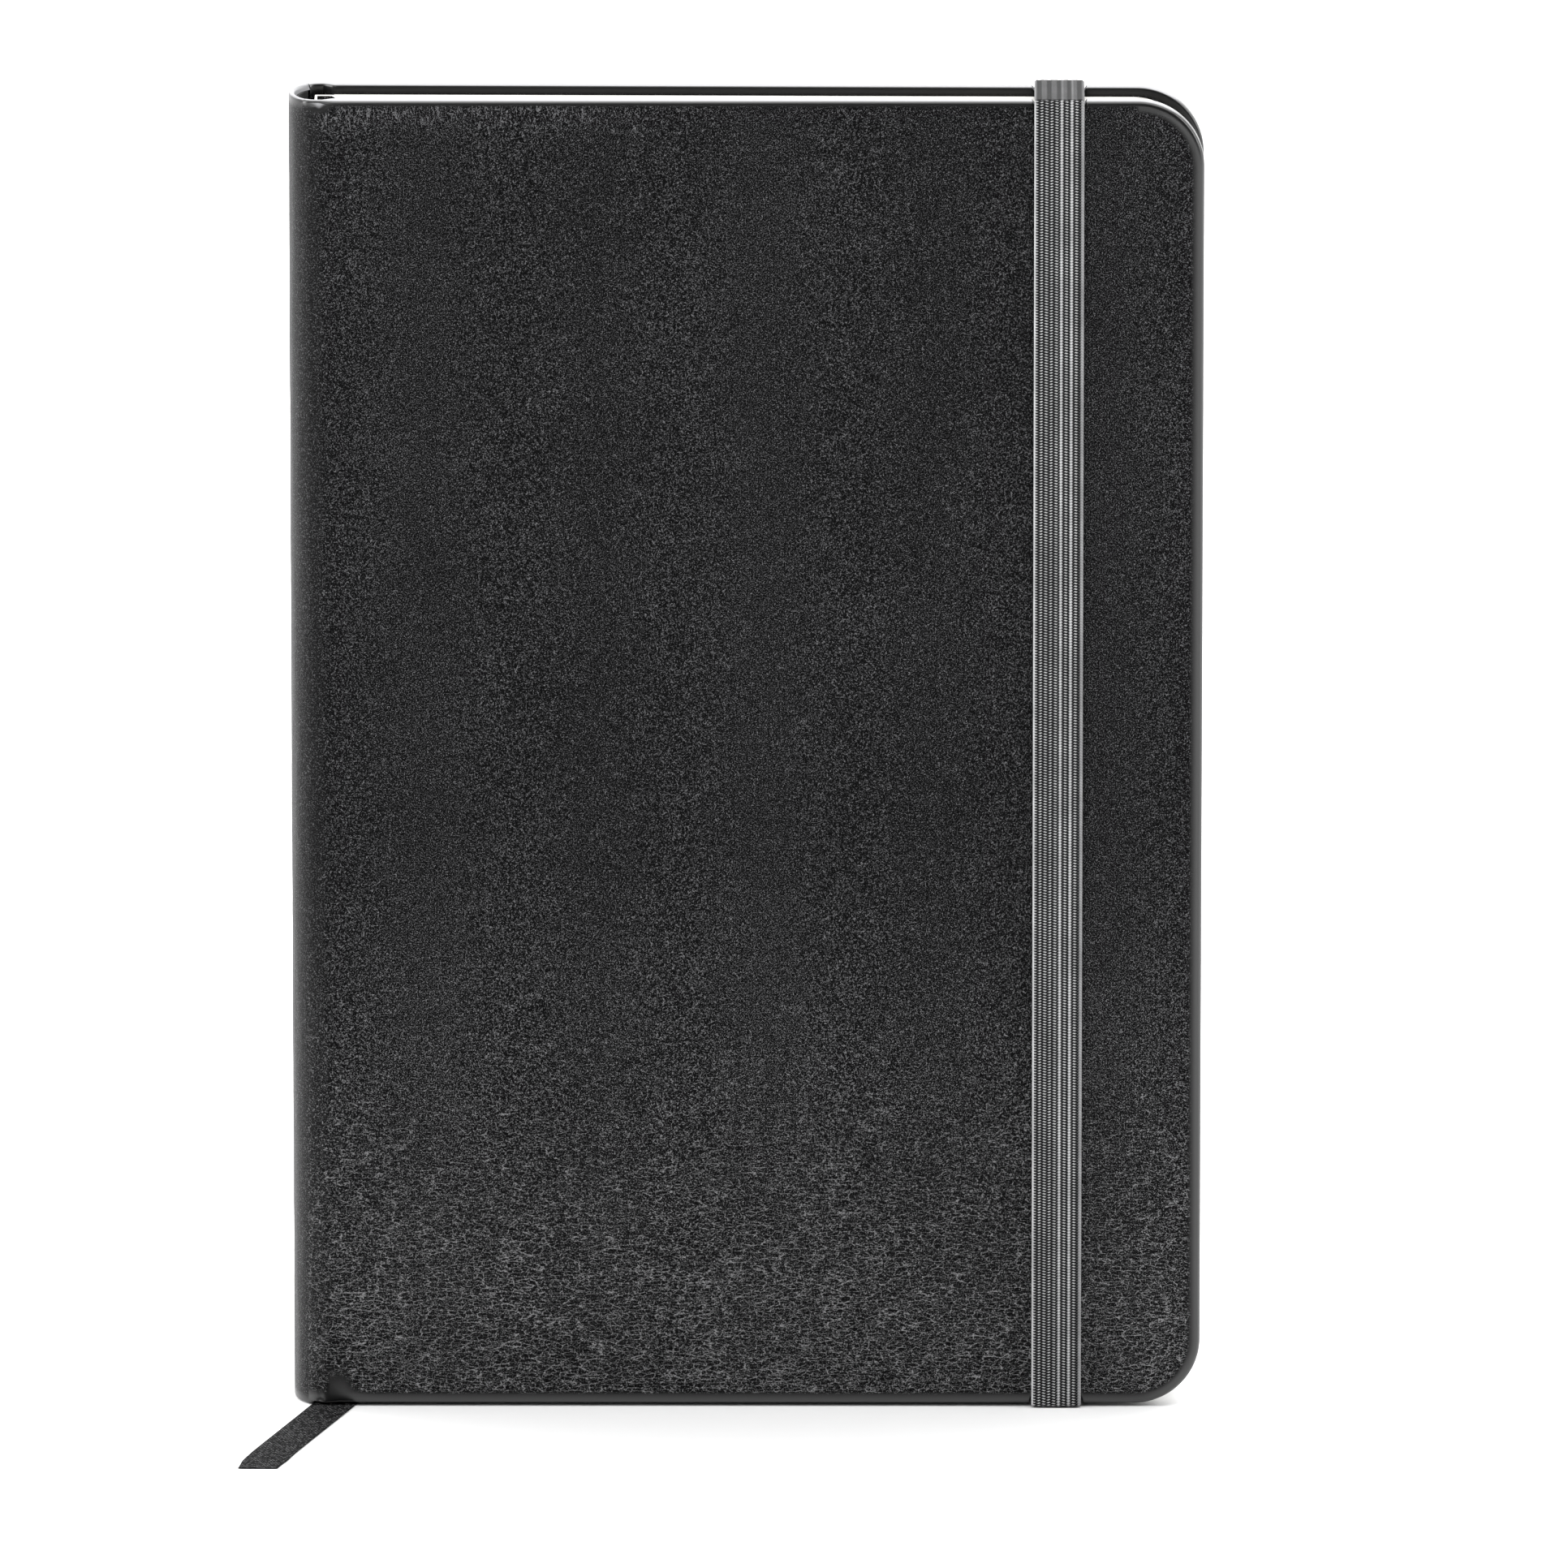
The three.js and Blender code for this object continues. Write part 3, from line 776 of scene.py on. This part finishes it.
def make_spine_skin(leather):
    """The spine's leather, turned over its strip at the head and the tail."""
    low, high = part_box("spine_leather")
    tail, head = low[2] / MM, high[2] / MM
    end = math.acos(1 - SPINE_END / SPINE_DEPTH)
    steps = 56
    across = []
    for i in range(steps + 1):
        angle = end * (2 * i / steps - 1)
        u = SPINE_DEPTH * (1 - math.cos(angle))
        y = HALF_THICKNESS * math.sin(angle)
        normal = Vector((HALF_THICKNESS * math.cos(angle), -SPINE_DEPTH * math.sin(angle))).normalized()
        across.append((u, y, normal))
    rows = round((head - tail) / SPINE_ROW)
    # (z, depth, grain) of each level of points
    levels = []

    # painted highlight: the deep rings round the head and tail edges get no grain, which paints them light
    # grey
    def turned_grain_and_highlight(depth):
        return 0.0 if depth > SPINE_ROUND / 2 else EDGE_GRAIN

    # (outward, depth) of each ring of points round the turned edge
    lip = [(-0.45, SPINE_EDGE)]
    for step in range(6):
        angle = math.pi * (1 - step / 6)
        lip.append((SPINE_ROUND * math.sin(angle), SPINE_ROUND - SPINE_ROUND * math.cos(angle)))
    for out, depth in lip:
        levels.append((tail + SPINE_ROUND - out, depth, turned_grain_and_highlight(depth)))
    for j in range(rows + 1):
        z = tail + SPINE_ROUND + (head - tail - 2 * SPINE_ROUND) * j / rows
        near = smooth(0.5, 2, min(z - tail, head - z))
        levels.append((z, 0, EDGE_GRAIN + (1 - EDGE_GRAIN) * 0.72 * near))
    for out, depth in reversed(lip):
        levels.append((head - SPINE_ROUND + out, depth, turned_grain_and_highlight(depth)))
    points = []
    grain = []
    creased_and_floor_lit = []
    for z, depth, rough in levels:
        for u, y, normal in across:
            ripple = 0.05 * noise.noise(Vector((y * 0.5, 3, z * 0.09)))
            ripple += 0.02 * noise.noise(Vector((y * 1.4, 7, z * 0.4)))
            d = depth + (ripple if depth == 0 else 0) * smooth(1.5, 6, min(z - tail, head - z))
            points.append((from_spine(u) + normal[0] * d, y + normal[1] * d, z))
            grain.append(rough)
            # painted light from the floor: the spine's strokes are painted a little lighter low down
            creased_and_floor_lit.append(0.3 * (1 - smooth(10, 60, z)))
    wide = steps + 1
    faces = []
    for j in range(len(levels) - 1):
        for i in range(steps):
            a = j * wide + i
            faces.append((a, a + wide, a + wide + 1, a + 1))
    marks = {"grain": grain, "creased_and_floor_lit": creased_and_floor_lit, "drawn": [0.0] * len(points)}
    obj = make_object("spine_case", points, faces, leather, marks)
    thicken(obj, SKIN)
    sharpen_edges(obj, SHARP)
    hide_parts("spine_leather")
    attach(obj, "book_block")


# ---------- paper ----------

def make_section(number, material):
    """One sewn section: folded sheets, each bent round the same fold."""
    name = f"section_{number:02d}"
    turns = any(joint["child"] == name for joint in frame["joints"])
    low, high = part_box(name)
    draw = random.Random(number)
    from_middle = number - (SECTIONS + 1) / 2
    room = math.copysign(RIBBON_ROOM, from_middle)
    spine_y = room + from_middle * SPINE_PITCH
    fore_y = room + from_middle * FORE_PITCH
    fold_x = low[0] / MM + FOLD_RADIUS
    length = high[0] / MM - fold_x
    tilt = math.atan((fore_y - spine_y) / length)
    tail, head = low[2] / MM, high[2] / MM
    corner = length - PAGE_CORNER
    along = [0, length * 0.33, length * 0.66]
    along += [corner + PAGE_CORNER * math.sin(math.radians(a)) for a in (0, 15, 30, 45, 60, 72, 82, 90)]
    points = []
    faces = []
    tones = []
    for sheet in range(LEAVES):
        r = FOLD_RADIUS - (sheet + 0.5) * FOLD_RADIUS / LEAVES
        trim = draw.uniform(0, 0.09)
        tone = draw.uniform(0.55, 1.0)
        path = []
        for x in reversed(along):
            path.append((x, r, 0.0, 1.0))
        for a in range(15, 180, 15):
            angle = math.radians(90 + a)
            path.append((r * math.cos(angle), r * math.sin(angle), math.cos(angle), math.sin(angle)))
        for x in along:
            path.append((x, -r, 0.0, -1.0))
        base = len(points)
        for x, y, nx, ny in path:
            cut = max(0.0, x - corner)
            rise = PAGE_CORNER - math.sqrt(max(0.0, PAGE_CORNER ** 2 - cut ** 2))
            x = min(x, length - trim)
            for z, side in ((tail + rise, -1), (tail + rise, 1), (head - rise, 1), (head - rise, -1)):
                px = x + side * nx * SHEET / 2
                py = y + side * ny * SHEET / 2
                points.append((
                    fold_x + px * math.cos(tilt) - py * math.sin(tilt),
                    spine_y + px * math.sin(tilt) + py * math.cos(tilt),
                    z,
                ))
                tones.append(1.0 + (tone - 1.0) * smooth(length - 0.6, length - 0.2, x))
        for k in range(len(path) - 1):
            for side in range(4):
                a = base + 4 * k + side
                b = base + 4 * k + (side + 1) % 4
                faces.append((a, b, b + 4, a + 4))
        end = base + 4 * (len(path) - 1)
        faces.append((base + 3, base + 2, base + 1, base))
        faces.append((end, end + 1, end + 2, end + 3))
    obj = make_object(f"{name}_leaves", points, faces, material, {"tone": tones})
    face_outwards(obj)
    sharpen_edges(obj, 40)
    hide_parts(name)
    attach(obj, name if turns else "book_block")


# ---------- elastic ----------

def stitch_height(across, along):
    """Height of the knit, 0 to 1. across runs 0 to 1 over the width, along in millimetres."""
    wale = across * WALES
    column = int(wale)
    inside = wale - column - 0.5
    lean = 0.5 if column % 2 else -0.5
    yarn = 0.5 + 0.5 * math.cos(2 * math.pi * (along / STITCH + column * 0.37 - lean * inside))
    core = 1 - smooth(0.16, 0.34, abs(inside))
    chevron = 0.5 + 0.5 * math.cos(2 * math.pi * (along / STITCH + column * 0.37 + 0.5 + 1.4 * abs(inside)))
    if column in SOLID_WALES:
        knit = core * (0.52 + 0.4 * yarn) + (1 - core) * 0.55 * chevron ** 1.5
    else:
        knit = core * yarn ** 1.3 + (1 - core) * 0.5 * chevron ** 1.5
    left = 1 - smooth(0.028, 0.05, across)
    right = smooth(0.91, 0.95, across)
    return max(knit * (1 - left) * (1 - right), left * (0.72 + 0.12 * yarn), right * (0.5 + 0.12 * chevron))


def resample(path, step):
    """The points every step along a line of (y, z) points, with the distance to each."""
    result = []
    distance = 0.0
    carry = 0.0
    for (ay, az), (by, bz) in zip(path, path[1:]):
        length = math.hypot(by - ay, bz - az)
        while carry <= length:
            t = carry / length
            result.append((ay + (by - ay) * t, az + (bz - az) * t, distance + carry))
            carry += step
        carry -= length
        distance += length
    return result


def make_band(name, path, left, right, material):
    """A knitted strip along path, whose outer face is on the left of its direction of travel."""
    cells = 66
    points = []
    stitch = []
    samples = resample(path, STITCH / 4)
    count = len(samples)
    for k, (y, z, distance) in enumerate(samples):
        before = samples[max(0, k - 3)]
        after = samples[min(count - 1, k + 3)]
        along = Vector((after[0] - before[0], after[1] - before[1])).normalized()
        normal = (-along[1], along[0])
        for i in range(cells + 1):
            across = i / cells
            height = stitch_height(min(across, 0.9999), distance)
            # over the head and the tail the knit gives way to low ribs, whose low height also paints those
            # turns darker: painted shade against the overhead light
            stretched = smooth(0.5, 0.9, abs(normal[1]))
            rib = 0.3 + 0.11 * math.cos(2 * math.pi * across * HEAD_RIBS)
            height += (rib + 0.3 * (height - 0.5) - height) * stretched
            edge = 1 - smooth(0.0, 0.05, min(across, 1 - across))
            out = KNIT_RELIEF * (height - 1) - edge * ELASTIC_THICKNESS * 0.25
            points.append((left + (right - left) * across, y + normal[0] * out, z + normal[1] * out))
            stitch.append(height)
        for across in (1.0, 0.0):
            out = -ELASTIC_THICKNESS + 0.2
            points.append((left + (right - left) * across, y + normal[0] * out, z + normal[1] * out))
            stitch.append(0.4)
    wide = cells + 3
    faces = []
    for k in range(count - 1):
        for i in range(wide):
            a = k * wide + i
            b = k * wide + (i + 1) % wide
            faces.append((a, a + wide, b + wide, b))
    faces.append(tuple(range(wide)))
    faces.append(tuple(reversed(range((count - 1) * wide, count * wide))))
    obj = make_object(name, points, faces, material, {"stitch": stitch})
    face_outwards(obj)
    return obj


def rounded(points, radius):
    """A line of (y, z) points with its corners rounded."""
    result = [points[0]]
    for before, corner, after in zip(points, points[1:], points[2:]):
        c = Vector(corner)
        a = c + (Vector(before) - c).normalized() * radius
        b = c + (Vector(after) - c).normalized() * radius
        for step in range(7):
            t = step / 6
            result.append(tuple((1 - t) ** 2 * a + 2 * t * (1 - t) * c + t * t * b))
    result.append(points[-1])
    return result


def make_elastic(material):
    """The closure's band, and the two ends that go through the slits in the back cover."""
    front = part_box("elastic_front")
    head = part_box("elastic_head_turn")
    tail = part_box("elastic_tail_turn")
    left, right = front[0][0] / MM, front[1][0] / MM
    out = head[1][1] / MM
    top, bottom = head[1][2] / MM, tail[0][2] / MM
    corners = [(out, top - 1.0), (out, top), (-out, top), (-out, bottom), (out, bottom), (out, 1.0)]
    path = rounded(corners, BAND_ROUND)
    path.reverse()
    band = make_band("elastic_band", path, left, right, material)
    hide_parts("elastic_front", "elastic_head_turn", "elastic_tail_turn")
    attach(band, "elastic_closure")
    # the front run's resting place on the inside of the back cover, without the block between them; worked
    # out here but not used
    rest = size_of("back_pastedown")[0][1] - 0.2
    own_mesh(band)

    for name, edge, way in (("elastic_end_head", top - END_GAP, -1), ("elastic_end_tail", END_GAP, 1)):
        low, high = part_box(name)
        slit = (low[2] if way < 0 else high[2]) / MM
        depth = low[1] / MM
        path = rounded([(out, edge), (out, slit), (depth, slit)], END_ROUND)
        if way > 0:
            # walked the other way, so that its outer face stays outside
            path.reverse()
        strip = make_band(name + "_knit", path, left, right, material)
        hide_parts(name)
        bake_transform(strip)


# ---------- ribbon ----------

def twill(across, along):
    """Height of the ribbon's weave, 0 to 1."""
    lines = 0.5 + 0.5 * math.cos(2 * math.pi * (along / 0.62 + across * 3))
    cross = 0.5 + 0.5 * math.cos(2 * math.pi * (across * 17 + along / 2.4))
    return 0.4 * lines + 0.6 * lines * cross


def make_strip(name, route, width, material, taper=0.0, sink=0.0):
    """A woven strip along route, points in millimetres, its width along x. taper narrows its last part,
    and sink lowers the start of the right half of its width."""
    cells = 56
    points = []
    stitch = []
    count = len(route)
    distance = 0.0
    for k, p in enumerate(route):
        before = Vector(route[max(0, k - 1)])
        after = Vector(route[min(count - 1, k + 1)])
        along = (after - before).normalized()
        normal = Vector((0, -along[2], along[1])).normalized()
        if k:
            distance += (Vector(p) - Vector(route[k - 1])).length
        narrow = 1 - taper * smooth(count * 0.86, count - 1, k)
        for face_side in (1, -1):
            steps = range(cells + 1) if face_side > 0 else range(cells, -1, -1)
            for i in steps:
                across = i / cells
                height = twill(across, distance)
                edge = 1 - smooth(0.0, 0.03, min(across, 1 - across))
                out = face_side * (0.09 - 0.03 * (1 - height) - 0.03 * edge)
                x = p[0] + (across - 0.5) * width * narrow
                drop = sink * smooth(0.3, 0.6, across) * (1 - smooth(2, 8, distance))
                points.append((x, p[1] + normal[1] * out, p[2] + normal[2] * out - drop))
                stitch.append(height)
    wide = 2 * (cells + 1)
    faces = []
    for k in range(count - 1):
        for i in range(wide):
            a = k * wide + i
            b = k * wide + (i + 1) % wide
            faces.append((a, b, b + wide, a + wide))
    faces.append(tuple(reversed(range(wide))))
    faces.append(tuple(range((count - 1) * wide, count * wide)))
    obj = make_object(name, points, faces, material, {"stitch": stitch})
    face_outwards(obj)
    return obj


def curve_through(points, step):
    """A smooth line through points, sampled about every step."""
    result = []
    vectors = [Vector(p) for p in points]
    for i in range(len(vectors) - 1):
        p0 = vectors[max(0, i - 1)]
        p1, p2 = vectors[i], vectors[i + 1]
        p3 = vectors[min(len(vectors) - 1, i + 2)]
        count = max(1, round((p2 - p1).length / step))
        for k in range(count):
            t = k / count
            result.append(tuple(0.5 * (
                2 * p1 + (p2 - p0) * t + (2 * p0 - 5 * p1 + 4 * p2 - p3) * t ** 2
                + (3 * p1 - p0 - 3 * p2 + p3) * t ** 3
            )))
    result.append(tuple(vectors[-1]))
    return result


# sideways from the middle of the gutter, y and z
RIBBON_INSIDE = [
    (0, 0, 209.2), (0, 0, 120), (0, 0, 30), (0, 0, 2.1), (0, -0.12, 1.55),
    (-0.05, -0.6, 1.15), (-0.2, -1.6, 0.8), (-0.45, -3.2, 0.4), (-0.85, -4.8, 0.18),
    (-1.3, -6.4, 0.13), (-1.72, -7.85, 0.13),
]
RIBBON_OUTSIDE = [
    (-1.8, -8.15, 0.13), (-2.62, -11, 0.13), (-3.47, -14, 0.13), (-4.33, -17, 0.13),
    (-5.18, -20, 0.13), (-6.04, -23, 0.13), (-6.9, -26, 0.13), (-7.76, -29, 0.13),
    (-8.62, -32, 0.13), (-9.32, -34.5, 0.13), (-10.02, -37, 0.13), (-10.66, -39.5, 0.13),
    (-11.27, -42, 0.13), (-11.83, -44.5, 0.13), (-12.4, -47.3, 0.13),
]


def ribbon_route(points):
    """The points, moved to the gutter."""
    middle = from_spine(RIBBON_U)
    return [(middle + x, y, z) for x, y, z in points]


def make_ribbon(material):
    """The ribbon's free end on the floor, and the rest of it in the gutter."""
    outside = curve_through(ribbon_route(RIBBON_OUTSIDE), 0.14)
    free_end = make_strip("ribbon_tail", outside, RIBBON_WIDTH, material, 0.12)
    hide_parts("ribbon_free_end")
    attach(free_end, "book_block")
    inside = curve_through(ribbon_route(RIBBON_INSIDE), 0.5)
    gutter = make_strip("ribbon_in_gutter", inside, RIBBON_WIDTH, material, sink=1.3)
    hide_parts("ribbon_bookmark")
    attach(gutter, "book_block")


# ---------- assembly ----------

def give_material(material, *names):
    """A new material for CAD nodes whose shape stays as it is."""
    for name in names:
        node = frame["nodes"][name]
        node.data.materials.clear()
        node.data.materials.append(material)


make_camera()
make_studio()

leather = leatherette()
page = paper("page", (0.76, 0.75, 0.72), shaded=True)
endpaper = paper("endpaper", (0.7, 0.69, 0.66))
elastic_material = knitted_elastic()
ribbon_material = satin_ribbon()

make_ribbon(ribbon_material)
make_cover_skin("front", -1, leather, 11.3)
make_cover_skin("back", 1, leather, 47.9)
make_spine_skin(leather)
for section in range(1, SECTIONS + 1):
    make_section(section, page)
make_elastic(elastic_material)

give_material(board(), "front_board", "back_board")
# the spine strip is painted black, painted shade for the hollow inside the spine
give_material(painted_shade_card(), "spine_strip")
give_material(endpaper, "front_pastedown", "back_pastedown", "front_flyleaf", "back_flyleaf")
give_material(weave("mull", (0.3, 0.28, 0.24), (0.7, 0.67, 0.6), 0.0011, 0.9, 0.0002), "spine_mull")
give_material(thread(), *[f"sewing_thread_{number}" for number in range(1, 5)])
